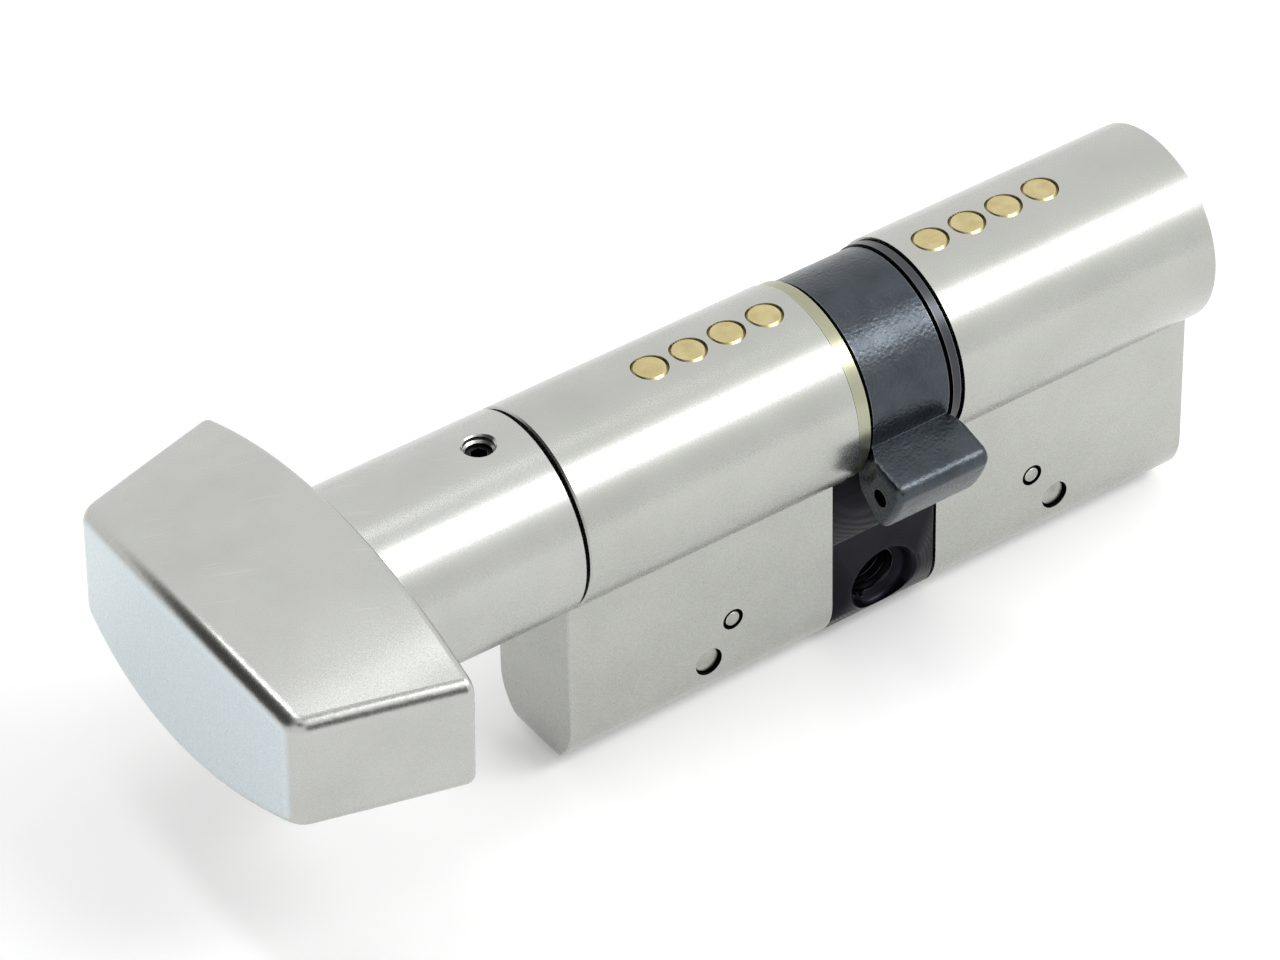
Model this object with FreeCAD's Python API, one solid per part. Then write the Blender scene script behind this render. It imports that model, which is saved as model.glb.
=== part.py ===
import FreeCAD, Part
import math
import os

# Modular euro-profile lock cylinder with a thumbturn on one end and a keyed plug on the other.
# Two nickel-plated brass bodies are joined by a steel bridge, which carries the fixing screw,
# and each is held to it by two cross pins.  A steel cam turns in the space between the bodies.
#
# Frame: the origin is the centre of the fixing-screw hole, X runs along the barrel towards the
# key side, Y is across the leg and Z is up.  All sizes are millimetres and degrees.

V = FreeCAD.Vector

# ---- Profile and overall sizes ----
THUMB_REACH = 30.7       # screw centre to the thumb body's outer face
KEY_REACH = 30.7         # screw centre to the key body's outer face
PROFILE_HEIGHT = 33.0    # bottom of the leg to the crest of the barrel
BARREL_D = 17.0
LEG_WIDTH = 10.0         # the leg's bottom is a half round of this width
CAM_SPACE = 10.4         # between the inner faces of the two bodies
LEG_CORNER_R = 1.6       # rounded lower outer corner of each leg
BODY_EDGE = 0.15         # chamfer round the outer end faces

# ---- Turning cores ----
CORE_D = 13.0            # key plug and thumb core
CORE_CLEAR = 0.04        # radial running clearance of the cores
HEAD_D = 14.4            # shoulder at the outer end of each core
HEAD_T = 1.2
HEAD_CLEAR = 0.06        # radial and axial room round each head
JOURNAL_D = 11.0         # inner end of each core, which carries the cam
JOURNAL_CLEAR = 0.05

# ---- Pin chambers ----
CHAMBER_D = 3.1
CHAMBER_INSET = 2.9      # inner face of the body to the first chamber's centre
CHAMBER_PITCH = 3.65
CHAMBER_COUNT = 4
CHAMBER_FLOOR = 1.1      # left between the chambers' ends and the bridge tongue's slot
PIN_CLEAR = 0.05         # radial clearance of the pins in their chambers
CAP_T = 1.4
CAP_SINK = 0.06          # cap's flat face below the crest of the barrel
CAP_EDGE = 0.25
CAP_CLEAR = 0.02

# ---- Keyway and pins ----
KEYWAY_WIDTH = 8.6
KEYWAY_HEIGHT = 2.7
KEYWAY_LEAD = 0.5        # bevel round the keyway's mouth
WARD_WIDTH = 0.9         # rib along the roof of the keyway
WARD_HEIGHT = 0.5
WARD_OFFSET = 1.9
KEY_PIN_LENGTHS = (5.6, 6.2, 5.9, 6.4)
KEY_PIN_SHANK = 2.6      # length of the full-diameter part of each key pin
KEY_PIN_TIP_D = 2.0
KEY_PIN_POINT_D = 0.7    # flat at the end of the coned tip
KEY_PIN_LIFT = 1.0       # rise of a key pin into the empty keyway
SHEAR_GAP = 0.04         # each pin's end stands this far from the shear line
DRIVER_LENGTH = 3.2
DRIVER_EDGE = 0.3
PIN_WIRE_D = 0.32
PIN_SPRING_TURNS = 5
SPRING_GAP = 0.05        # spring end to the face it bears on

# ---- Cam ----
CAM_STEP = 0.35          # cam ring below the barrel's surface
CAM_GAP_THUMB = 1.65     # thumb body's inner face to the ring
CAM_GAP_KEY = 1.3        # key body's inner face to the ring
LUG_GAP_THUMB = 0.85     # thumb body's inner face to the lug's end
LUG_GAP_KEY = 0.55
LUG_TIP_R = 13.3
LUG_FLARE_R = 10.1       # radius where the lug reaches its full length
LUG_ROOT_STEP = 0.1      # the lug's shoulders stand this far proud of the ring
LUG_END_ROUND = 0.6      # outer corners of the lug's two ends
LUG_TIP_ROUND = 1.1      # corners of the lug seen along the barrel
LUG_ANGLE = 62.5         # middle of the lug, from straight down towards -Y
LUG_SPAN = 27.0          # angle between its flanks
LUG_SWEEP_CLEAR = 0.8    # tip to the hollow in the bridge
LUG_DIMPLE_D = 1.6       # blind hole in the lug's thumb-side end
LUG_DIMPLE_DEPTH = 1.2
LUG_DIMPLE_R = 11.4
CAM_RECESS_CLEAR = 0.2   # radial room round the thumb retaining ring
CAM_WEB = 3.0            # driven web in the middle of the cam
DRIVE_HUB_D = 4.8
DRIVE_WING_R = 4.5
DRIVE_WING_W = 2.2
DRIVE_CLEAR = 0.1
DRIVE_WINGS = 4

# ---- Clutch in the key plug ----
CLUTCH_TRAVEL = 1.6
CLUTCH_WING_L = 3.1
CLUTCH_STEM_D = 4.0
CLUTCH_BORE_D = 2.8      # blind bore for the clutch spring
CLUTCH_BORE_DEPTH = 1.55
CLUTCH_WIRE_D = 0.3
CLUTCH_SPRING_D = 2.4
CLUTCH_SPRING_TURNS = 5
CLUTCH_END_GAP = 0.1

# ---- Rings beside the cam ----
WASHER_T = 1.1
WASHER_D = 16.8
WASHER_GAP = 0.1         # washer to the thumb body
WASHER_BORE_CLEAR = 0.1
RING_GROOVE = 0.45       # depth of the retaining-ring grooves in the journals
RING_SEAT = 0.05         # room between each ring and its groove
THUMB_RING_T = 0.8
THUMB_RING_D = 14.4
KEY_RING_T = 0.75
KEY_RING_D = 16.6
KEY_RING_GAP = 0.25      # key ring to the key body
RING_OPENING = 80.0      # angle of the open part of each ring, at the bottom

# ---- Bridge and cross pins ----
BRIDGE_GAP_THUMB = 0.05
BRIDGE_GAP_KEY = 0.3
BRIDGE_CORNER_R = 0.9    # lower corner on the key side
BRIDGE_THUMB_CORNER_R = 0.3
TONGUE_W = 4.0
TONGUE_BOTTOM = 2.8      # below the screw's centre
TONGUE_TOP_DROP = 0.4    # below the deepest point of the bridge's hollow
TONGUE_REACH = 15.2      # from the body's inner face
TONGUE_CLEAR = 0.05
SCREW_HOLE_D = 4.2       # tapping size of the M5 fixing screw
SCREW_MOUTH_D = 6.0      # counterbore at each end of the screw's hole
SCREW_MOUTH_DEPTH = 1.2
SCREW_MOUTH_EDGE = 0.35
SMALL_PIN_D = 1.9
SMALL_PIN_IN = 9.8       # from the body's inner face
SMALL_PIN_Z = 3.65
SMALL_PIN_BEVEL = 0.32
LARGE_PIN_D = 2.5
LARGE_PIN_IN = 12.2
LARGE_PIN_Z = 0.4
LARGE_PIN_BEVEL = 0.12
PIN_SINK = 0.3           # ends of the large pins below the leg's faces
CROSS_PIN_CLEAR = 0.02

# ---- Drill guards ----
BODY_GUARD_D = 1.8
BODY_GUARD_L = 6.0
BODY_GUARD_Y = 3.2
BODY_GUARD_Z = 8.6
PLUG_GUARD_D = 1.5
PLUG_GUARD_L = 8.0
PLUG_GUARD_WALL = 0.98   # left between each plug guard and the core's surface
PLUG_GUARD_ANGLE = 33.0  # from straight up, each way
GUARD_CLEAR = 0.01

# ---- Thumbturn ----
NECK_GAP = 0.35          # thumb body to the neck
NECK_D = 17.0
NECK_LENGTH = 16.95      # from its end to the back of the knob
NECK_EDGE = 0.12
NECK_ROOT = 2.0          # how far the neck runs into the knob
STUB_D = 9.0             # end of the thumb core inside the neck
STUB_LENGTH = 13.0
STUB_CLEAR = 0.03
KNOB_DEPTH = 13.9        # back corners to front corners, along X
KNOB_BACK_W = 37.4
KNOB_FRONT_W = 29.9
KNOB_BACK_BOW = 0.15
KNOB_FRONT_BOW = 1.4
KNOB_BACK_T = 17.8       # thickness in the middle, at the back
KNOB_TAPER = 5.3         # fall of the top towards the front
KNOB_FACE_R = 47.0       # the rounded top and bottom
KNOB_TILT = 2.4          # the whole knob about the barrel's axis, as it stands at rest
KNOB_CORNER_ROUND = 2.2  # upright corners at the front
KNOB_RIDGE_ROUND = 1.5   # round the top and bottom faces
KNOB_BACK_ROUND = 0.6
GRUB_D = 2.5
GRUB_INSET = 3.95        # neck's end to the grub screw
GRUB_LENGTH = 3.4
GRUB_FLAT = 0.3          # flat on the stub under the screw
GRUB_CLEAR = 0.03
GRUB_EDGE = 0.18
GRUB_MOUTH = 0.2         # width of the bevel round the screw's hole
GRUB_HEX = 1.3
GRUB_HEX_DEPTH = 1.5

# ---- Worked out from the sizes above ----
PAST = 1.0                                     # how far a cutting shape runs past what it cuts
FLAT = 0.01                                    # an edge this short along an axis is square to it
BARREL_R = BARREL_D / 2
LEG_R = LEG_WIDTH / 2
AXIS_Z = PROFILE_HEIGHT - BARREL_R - LEG_R     # barrel's axis above the screw
FACE_X = CAM_SPACE / 2                         # inner face of each body
CORE_R = CORE_D / 2
BORE_R = CORE_R + CORE_CLEAR
HEAD_R = HEAD_D / 2
JOURNAL_R = JOURNAL_D / 2
CHAMBER_R = CHAMBER_D / 2
PIN_R = CHAMBER_R - PIN_CLEAR
CAM_R = BARREL_R - CAM_STEP
CAM_X0 = -FACE_X + CAM_GAP_THUMB
CAM_X1 = FACE_X - CAM_GAP_KEY
WEB_X0 = (CAM_X0 + CAM_X1 - CAM_WEB) / 2
WEB_X1 = WEB_X0 + CAM_WEB
SWEEP_R = LUG_TIP_R + LUG_SWEEP_CLEAR
TONGUE_TOP = AXIS_Z - SWEEP_R - TONGUE_TOP_DROP
CHAMBER_END = TONGUE_TOP + TONGUE_CLEAR + CHAMBER_FLOOR
SHEAR_Z = AXIS_Z - CORE_R - CORE_CLEAR / 2     # shear line at the bottom of the cores
DRIVER_TOP = SHEAR_Z - SHEAR_GAP
DRIVER_BASE = DRIVER_TOP - DRIVER_LENGTH
KEYWAY_X0 = FACE_X + CHAMBER_INSET - CHAMBER_R - CLUTCH_END_GAP
SLIDER_X0 = WEB_X1 + DRIVE_CLEAR * 2
THUMB_TENON_END = WEB_X0 + CAM_WEB / 2 - DRIVE_CLEAR
NECK_X = -(THUMB_REACH + NECK_GAP)
KNOB_X = NECK_X - NECK_LENGTH
GRUB_X = NECK_X - GRUB_INSET
RING_GROOVE_R = JOURNAL_R - RING_GROOVE
PLUG_GUARD_R = CORE_R - PLUG_GUARD_WALL - PLUG_GUARD_D / 2
PLUG_GUARD_Y = PLUG_GUARD_R * math.sin(math.radians(PLUG_GUARD_ANGLE))
PLUG_GUARD_Z = AXIS_Z + PLUG_GUARD_R * math.cos(math.radians(PLUG_GUARD_ANGLE))
UP = V(0, 0, 1)
ALONG = V(1, 0, 0)
ACROSS = V(0, 1, 0)


def rod(x0, x1, radius, y=0.0, z=AXIS_Z):
    """Round bar along X from x0 to x1."""
    return Part.makeCylinder(radius, x1 - x0, V(x0, y, z), ALONG)


def tube(x0, x1, outer, inner):
    """Hollow round bar along X, on the barrel's axis."""
    return rod(x0, x1, outer).cut(rod(x0 - PAST, x1 + PAST, inner))


def post(x, z0, z1, radius):
    """Upright round bar at y = 0."""
    return Part.makeCylinder(radius, z1 - z0, V(x, 0, z0), UP)


def cross_rod(x, z, half_length, radius):
    """Round bar along Y, centred on y = 0."""
    return Part.makeCylinder(radius, 2 * half_length, V(x, -half_length, z), ACROSS)


def block(x0, x1, y0, y1, z0, z1):
    """Rectangular block between two corners."""
    return Part.makeBox(x1 - x0, y1 - y0, z1 - z0, V(x0, y0, z0))


def fuse_all(shapes):
    """One shape from several that meet or overlap."""
    return shapes[0].multiFuse(shapes[1:]).removeSplitter()


def chamber_places(side):
    """X of each pin chamber: side is -1 for the thumb body and +1 for the key body."""
    return [side * (FACE_X + CHAMBER_INSET + i * CHAMBER_PITCH) for i in range(CHAMBER_COUNT)]


def edges_where(shape, test):
    """Edges of a shape whose bounding box passes the test."""
    return [edge for edge in shape.Edges if test(edge.BoundBox)]


def leg_corner(x, side, radius):
    """What is cut away to round the lower corner of a leg that ends at x."""
    centre_x, centre_z = x - side * radius, radius - LEG_R
    beyond = x + side * PAST
    corner = block(min(centre_x, beyond), max(centre_x, beyond), -LEG_R - PAST, LEG_R + PAST,
                   -LEG_R - PAST, centre_z)
    return corner.cut(cross_rod(centre_x, centre_z, LEG_R + 2 * PAST, radius))


def euro_profile(x0, x1):
    """Solid bar of the euro profile: round barrel over a leg with a half-round bottom."""
    crease_z = AXIS_Z - math.sqrt(BARREL_R ** 2 - LEG_R ** 2)
    left_low, right_low = V(x0, -LEG_R, 0), V(x0, LEG_R, 0)
    left_high, right_high = V(x0, -LEG_R, crease_z), V(x0, LEG_R, crease_z)
    outline = Part.Wire([
        Part.Arc(left_low, V(x0, 0, -LEG_R), right_low).toShape(),
        Part.LineSegment(right_low, right_high).toShape(),
        Part.Arc(right_high, V(x0, 0, AXIS_Z + BARREL_R), left_high).toShape(),
        Part.LineSegment(left_high, left_low).toShape(),
    ])
    return Part.Face(outline).extrude(V(x1 - x0, 0, 0))


def body_shell(side, reach):
    """One body: profile, core bore, head seat, pin chambers, tongue slot and pin holes."""
    inner, outer = side * FACE_X, side * reach
    x0, x1 = min(inner, outer), max(inner, outer)
    body = euro_profile(x0, x1)
    end_edges = edges_where(body, lambda b: b.XLength < FLAT and abs(b.XMin - outer) < FLAT)
    body = body.makeChamfer(BODY_EDGE, end_edges)
    seat_r = HEAD_R + HEAD_CLEAR
    seat_in = outer - side * (HEAD_T + HEAD_CLEAR)
    beyond = outer + side * PAST
    cuts = [
        leg_corner(outer, side, LEG_CORNER_R),
        rod(x0 - PAST, x1 + PAST, BORE_R),
        rod(min(seat_in, beyond), max(seat_in, beyond), seat_r),
        tongue(side, TONGUE_CLEAR),
    ]
    for x in chamber_places(side):
        cuts.append(post(x, CHAMBER_END, AXIS_Z + BARREL_R + PAST, CHAMBER_R))
    for in_from_face, z, diameter in cross_pin_sizes():
        pin_x = side * (FACE_X + in_from_face)
        cuts.append(cross_rod(pin_x, z, LEG_R + PAST, diameter / 2 + CROSS_PIN_CLEAR))
    return body.cut(cuts)


def cross_pin_sizes():
    """Distance from the inner face, height and diameter of the small and large cross pins."""
    return ((SMALL_PIN_IN, SMALL_PIN_Z, SMALL_PIN_D), (LARGE_PIN_IN, LARGE_PIN_Z, LARGE_PIN_D))


def tongue(side, room):
    """Flat tongue of the bridge inside one leg, grown by the given room for its slot."""
    tip = side * (FACE_X + TONGUE_REACH + room)
    root = side * (FACE_X - PAST)
    half = TONGUE_W / 2 + room
    return block(min(tip, root), max(tip, root), -half, half, -TONGUE_BOTTOM - room, TONGUE_TOP + room)


def make_thumb_body():
    """Thumb-side body."""
    return body_shell(-1, THUMB_REACH)


def make_key_body():
    """Key-side body, which also holds two drill guards in its outer face."""
    body = body_shell(1, KEY_REACH)
    holes = [rod(KEY_REACH - BODY_GUARD_L, KEY_REACH + PAST, BODY_GUARD_D / 2 + GUARD_CLEAR,
                 y, BODY_GUARD_Z) for y in (-BODY_GUARD_Y, BODY_GUARD_Y)]
    return body.cut(holes)


def make_bridge():
    """Steel bridge: a block that closes the leg under the cam, with a tongue each way."""
    x0, x1 = -FACE_X + BRIDGE_GAP_THUMB, FACE_X - BRIDGE_GAP_KEY
    middle = euro_profile(x0, x1).common(block(x0, x1, -LEG_R, LEG_R, -LEG_R, AXIS_Z - BARREL_R))
    middle = middle.cut([
        rod(x0 - PAST, x1 + PAST, SWEEP_R),
        leg_corner(x1, 1, BRIDGE_CORNER_R),
        leg_corner(x0, -1, BRIDGE_THUMB_CORNER_R),
    ])
    bridge = fuse_all([middle, tongue(-1, 0.0), tongue(1, 0.0)])
    hole_r, mouth_r = SCREW_HOLE_D / 2, SCREW_MOUTH_D / 2
    cuts = [cross_rod(0, 0, LEG_R + PAST, hole_r)]
    for side in (-1, 1):
        inward = V(0, -side, 0)
        seat_y = side * (LEG_R - SCREW_MOUTH_DEPTH)
        cuts.append(Part.makeCylinder(mouth_r, SCREW_MOUTH_DEPTH + PAST, V(0, seat_y, 0), inward * -1))
        cuts.append(Part.makeCone(mouth_r, hole_r, mouth_r - hole_r, V(0, seat_y, 0), inward))
        cuts.append(Part.makeCone(mouth_r + SCREW_MOUTH_EDGE, mouth_r, SCREW_MOUTH_EDGE,
                                  V(0, side * LEG_R, 0), inward))
        for in_from_face, z, diameter in cross_pin_sizes():
            pin_x = side * (FACE_X + in_from_face)
            cuts.append(cross_rod(pin_x, z, LEG_R, diameter / 2 + CROSS_PIN_CLEAR))
    return bridge.cut(cuts)


def cross_pin(x, z, diameter, half_length, bevel):
    """Straight pin across the leg with bevelled ends."""
    pin = cross_rod(x, z, half_length, diameter / 2)
    rims = edges_where(pin, lambda b: b.YLength < FLAT)
    return pin.makeChamfer(bevel, rims)


def make_small_cross_pins():
    """The two thin pins, one in each leg, flush with its faces."""
    return Part.makeCompound([
        cross_pin(side * (FACE_X + SMALL_PIN_IN), SMALL_PIN_Z, SMALL_PIN_D, LEG_R, SMALL_PIN_BEVEL)
        for side in (-1, 1)])


def make_large_cross_pins():
    """The two thick pins, one in each leg, just below its faces."""
    return Part.makeCompound([
        cross_pin(side * (FACE_X + LARGE_PIN_IN), LARGE_PIN_Z, LARGE_PIN_D, LEG_R - PIN_SINK,
                  LARGE_PIN_BEVEL)
        for side in (-1, 1)])


def chamber_cap(x):
    """Brass disc that closes the drilling above one chamber."""
    top = AXIS_Z + BARREL_R - CAP_SINK
    cap = post(x, top - CAP_T, top, CHAMBER_R - CAP_CLEAR)
    rim = edges_where(cap, lambda b: b.ZLength < FLAT and b.ZMin > top - CAP_T / 2)
    return cap.makeChamfer(CAP_EDGE, rim)


def make_chamber_caps(side):
    """Row of caps along the crest of one barrel."""
    return Part.makeCompound([chamber_cap(x) for x in chamber_places(side)])


def make_body_drill_guards():
    """Hardened pins in the key body's outer face, beside the pin chambers."""
    return Part.makeCompound([
        rod(KEY_REACH - BODY_GUARD_L, KEY_REACH, BODY_GUARD_D / 2, y, BODY_GUARD_Z)
        for y in (-BODY_GUARD_Y, BODY_GUARD_Y)])


def make_plug_drill_guards():
    """Hardened pins in the plug's face, above the keyway."""
    return Part.makeCompound([
        rod(KEY_REACH - PLUG_GUARD_L, KEY_REACH, PLUG_GUARD_D / 2, y, PLUG_GUARD_Z)
        for y in (-PLUG_GUARD_Y, PLUG_GUARD_Y)])


def make_thrust_washer():
    """Brass washer between the thumb body and the cam."""
    x0 = -FACE_X + WASHER_GAP
    return tube(x0, x0 + WASHER_T, WASHER_D / 2, JOURNAL_R + WASHER_BORE_CLEAR)


def open_ring(x0, thickness, diameter):
    """Spring ring that snaps into a journal's groove, open at the bottom."""
    ring = tube(x0, x0 + thickness, diameter / 2, RING_GROOVE_R + RING_SEAT)
    spread = diameter * math.tan(math.radians(RING_OPENING / 2))
    start, low = x0 - PAST, AXIS_Z - diameter
    wedge = Part.Face(Part.makePolygon([
        V(start, 0, AXIS_Z), V(start, -spread, low), V(start, spread, low), V(start, 0, AXIS_Z)]))
    return ring.cut(wedge.extrude(V(thickness + 2 * PAST, 0, 0)))


def thumb_ring_x():
    """Thumb-side end of the thumb core's retaining ring."""
    return -FACE_X + WASHER_GAP + WASHER_T + RING_SEAT


def key_ring_x():
    """Thumb-side end of the key plug's retaining ring."""
    return FACE_X - KEY_RING_GAP - KEY_RING_T


def make_thumb_retaining_ring():
    """Ring that keeps the thumb core in its body, inside the cam's recess."""
    return open_ring(thumb_ring_x(), THUMB_RING_T, THUMB_RING_D)


def make_key_retaining_ring():
    """Ring that keeps the key plug in its body, beside the cam."""
    return open_ring(key_ring_x(), KEY_RING_T, KEY_RING_D)


def ring_groove(x0, thickness):
    """What is cut from a journal for its retaining ring."""
    return tube(x0 - RING_SEAT, x0 + thickness + RING_SEAT, JOURNAL_R + PAST, RING_GROOVE_R)


def drive_cross(x0, x1, room):
    """Hub with driving wings, grown by the given room for the recess it enters."""
    hub = rod(x0, x1, DRIVE_HUB_D / 2 + room)
    half = DRIVE_WING_W / 2 + room
    reach = DRIVE_WING_R + room
    wings = []
    for i in range(DRIVE_WINGS):
        wing = block(x0, x1, -half, half, AXIS_Z, AXIS_Z + reach)
        wing.rotate(V(0, 0, AXIS_Z), ALONG, i * 360.0 / DRIVE_WINGS)
        wings.append(wing)
    rim = rod(x0, x1, reach)
    return fuse_all([hub] + wings).common(rim)


def lug_solid():
    """Lug of the cam, turned through its span and rounded at the tip."""
    x0, x1 = -FACE_X + LUG_GAP_THUMB, FACE_X - LUG_GAP_KEY
    root_r = (JOURNAL_R + CAM_R) / 2
    shoulder_r = CAM_R + LUG_ROOT_STEP
    outline = Part.makePolygon([
        V(CAM_X0, 0, -root_r), V(CAM_X0, 0, -shoulder_r), V(x0, 0, -LUG_FLARE_R),
        V(x0, 0, -LUG_TIP_R), V(x1, 0, -LUG_TIP_R), V(x1, 0, -LUG_FLARE_R),
        V(CAM_X1, 0, -shoulder_r), V(CAM_X1, 0, -root_r), V(CAM_X0, 0, -root_r)])
    lug = Part.Face(outline).revolve(V(0, 0, 0), ALONG, LUG_SPAN)
    lug.rotate(V(0, 0, 0), ALONG, -LUG_SPAN / 2)
    tips = edges_where(lug, lambda b: b.ZMax < -LUG_FLARE_R and b.XLength > (x1 - x0) / 2)
    lug = lug.makeFillet(LUG_TIP_ROUND, tips)
    ends = edges_where(lug, lambda b: b.XLength < FLAT and b.ZMax < -LUG_FLARE_R - LUG_END_ROUND
                       and b.YLength > LUG_TIP_ROUND * 2)
    lug = lug.makeFillet(LUG_END_ROUND, ends)
    dimple = Part.makeCylinder(LUG_DIMPLE_D / 2, LUG_DIMPLE_DEPTH, V(x0, 0, -LUG_DIMPLE_R), ALONG)
    lug = lug.cut(dimple)
    lug.rotate(V(0, 0, 0), ALONG, -LUG_ANGLE)
    lug.translate(V(0, 0, AXIS_Z))
    return lug


def make_cam():
    """Cam: a ring on both journals, a slotted web in its middle and the lug."""
    ring = rod(CAM_X0, CAM_X1, CAM_R)
    cam = fuse_all([ring, lug_solid()])
    recess_end = thumb_ring_x() + THUMB_RING_T + DRIVE_CLEAR
    bore_r = JOURNAL_R + JOURNAL_CLEAR
    return cam.cut([
        rod(CAM_X0 - PAST, WEB_X0, bore_r),
        rod(WEB_X1, CAM_X1 + PAST, bore_r),
        rod(CAM_X0 - PAST, recess_end, THUMB_RING_D / 2 + CAM_RECESS_CLEAR),
        drive_cross(WEB_X0 - PAST, WEB_X1 + PAST, DRIVE_CLEAR),
    ])


def make_thumb_core():
    """Thumb core: stub for the knob, head, running part, journal and driving tenon."""
    head_x = -THUMB_REACH
    journal_end = WEB_X0 - DRIVE_CLEAR
    stub = rod(NECK_X - STUB_LENGTH, head_x, STUB_D / 2)
    flat_z = AXIS_Z + STUB_D / 2 - GRUB_FLAT
    stub = stub.cut(block(GRUB_X - GRUB_D, GRUB_X + GRUB_D, -STUB_D, STUB_D, flat_z, flat_z + STUB_D))
    core = fuse_all([
        stub,
        rod(head_x, head_x + HEAD_T, HEAD_R),
        rod(head_x + HEAD_T, -FACE_X, CORE_R),
        rod(-FACE_X, journal_end, JOURNAL_R),
        drive_cross(journal_end, THUMB_TENON_END, 0.0),
    ])
    return core.cut(ring_groove(thumb_ring_x(), THUMB_RING_T))


def lens(thickness, x0, x1):
    """Space between the knob's rounded top and bottom, which close towards the front."""
    rise = thickness / 2
    width = x1 - x0
    sheets = []
    for side in (-1, 1):
        centre = V(x1 + width, 0, side * (rise - KNOB_FACE_R))
        drum = Part.makeCylinder(KNOB_FACE_R, 4 * width, centre, V(-1, 0, 0))
        drum.rotate(centre, ALONG, 90 * (1 - side))
        drum.rotate(V(x1, 0, side * rise), ACROSS, -side * KNOB_TAPER)
        sheets.append(drum)
    return sheets[0].common(sheets[1])


def knob_plan():
    """Upright prism with the knob's outline seen from above."""
    back, front = KNOB_X, KNOB_X - KNOB_DEPTH
    half_back, half_front = KNOB_BACK_W / 2, KNOB_FRONT_W / 2
    low = -KNOB_BACK_T
    corners = [V(back, -half_back, low), V(back, half_back, low),
               V(front, half_front, low), V(front, -half_front, low)]
    outline = Part.Wire([
        Part.Arc(corners[0], V(back + KNOB_BACK_BOW, 0, low), corners[1]).toShape(),
        Part.LineSegment(corners[1], corners[2]).toShape(),
        Part.Arc(corners[2], V(front - KNOB_FRONT_BOW, 0, low), corners[3]).toShape(),
        Part.LineSegment(corners[3], corners[0]).toShape(),
    ])
    return Part.Face(outline).extrude(V(0, 0, 2 * KNOB_BACK_T))


def upright(box):
    """Whether an edge's box runs from below the barrel's axis to above it."""
    return box.ZMin < 0 < box.ZMax


def knob_head():
    """The winged knob without its neck, centred on the barrel's axis at z = 0."""
    back, front = KNOB_X, KNOB_X - KNOB_DEPTH
    head = knob_plan().common(lens(KNOB_BACK_T, front, back + KNOB_BACK_BOW))
    corners = edges_where(head, lambda b: upright(b) and b.XMax < front + KNOB_BACK_ROUND)
    head = head.makeFillet(KNOB_CORNER_ROUND, corners)
    ridges = edges_where(head, lambda b: not upright(b) and b.XMin < back - 2 * KNOB_BACK_ROUND)
    head = head.makeFillet(KNOB_RIDGE_ROUND, ridges)
    backs = edges_where(head, lambda b: b.XMin > back - 2 * KNOB_BACK_ROUND
                        and (upright(b) or b.YLength > KNOB_BACK_W / 2))
    return head.makeFillet(KNOB_BACK_ROUND, backs)


def make_thumb_knob():
    """Thumbturn: winged knob with a round neck that fits over the stub."""
    head = knob_head()
    head.rotate(V(0, 0, 0), ALONG, KNOB_TILT)
    head.translate(V(0, 0, AXIS_Z))
    neck = rod(KNOB_X - NECK_ROOT, NECK_X, NECK_D / 2)
    rim = edges_where(neck, lambda b: b.XMin > NECK_X - FLAT)
    neck = neck.makeChamfer(NECK_EDGE, rim)
    knob = fuse_all([head, neck])
    crest = AXIS_Z + NECK_D / 2
    hole_r = GRUB_D / 2 + GRUB_CLEAR
    mouth = Part.makeCone(hole_r, hole_r + 2 * GRUB_MOUTH, 2 * GRUB_MOUTH,
                          V(GRUB_X, 0, crest - GRUB_MOUTH), UP)
    return knob.cut([
        rod(NECK_X - STUB_LENGTH - DRIVE_CLEAR, NECK_X + PAST, STUB_D / 2 + STUB_CLEAR),
        post(GRUB_X, AXIS_Z, crest + PAST, hole_r),
        mouth,
    ])


def make_grub_screw():
    """Socket screw that clamps the knob to the stub."""
    base = AXIS_Z + STUB_D / 2 - GRUB_FLAT
    screw = post(GRUB_X, base, base + GRUB_LENGTH, GRUB_D / 2)
    rims = edges_where(screw, lambda b: b.ZLength < FLAT)
    screw = screw.makeChamfer(GRUB_EDGE, rims)
    corner_r = GRUB_HEX / math.sqrt(3)
    floor_z = base + GRUB_LENGTH - GRUB_HEX_DEPTH
    angles = [math.radians(60 * i) for i in range(7)]
    corners = [V(GRUB_X + corner_r * math.cos(a), corner_r * math.sin(a), floor_z) for a in angles]
    socket = Part.Face(Part.makePolygon(corners)).extrude(V(0, 0, GRUB_HEX_DEPTH + PAST))
    return screw.cut(socket)


def keyway():
    """Flat keyway with a bevelled mouth and a ward along its roof."""
    half_w, half_h = KEYWAY_WIDTH / 2, KEYWAY_HEIGHT / 2
    slot = block(KEYWAY_X0, KEY_REACH + PAST, -half_w, half_w, AXIS_Z - half_h, AXIS_Z + half_h)
    mouth = block(KEY_REACH - KEYWAY_LEAD, KEY_REACH + KEYWAY_LEAD, -half_w - KEYWAY_LEAD,
                  half_w + KEYWAY_LEAD, AXIS_Z - half_h - KEYWAY_LEAD, AXIS_Z + half_h + KEYWAY_LEAD)
    inner_rim = edges_where(mouth, lambda b: b.XMax < KEY_REACH - KEYWAY_LEAD / 2)
    mouth = mouth.makeChamfer(KEYWAY_LEAD, inner_rim)
    ward = block(KEYWAY_X0, KEY_REACH - KEYWAY_LEAD, WARD_OFFSET - WARD_WIDTH / 2,
                 WARD_OFFSET + WARD_WIDTH / 2, AXIS_Z + half_h - WARD_HEIGHT, AXIS_Z + half_h)
    return fuse_all([slot, mouth]).cut(ward)


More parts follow.
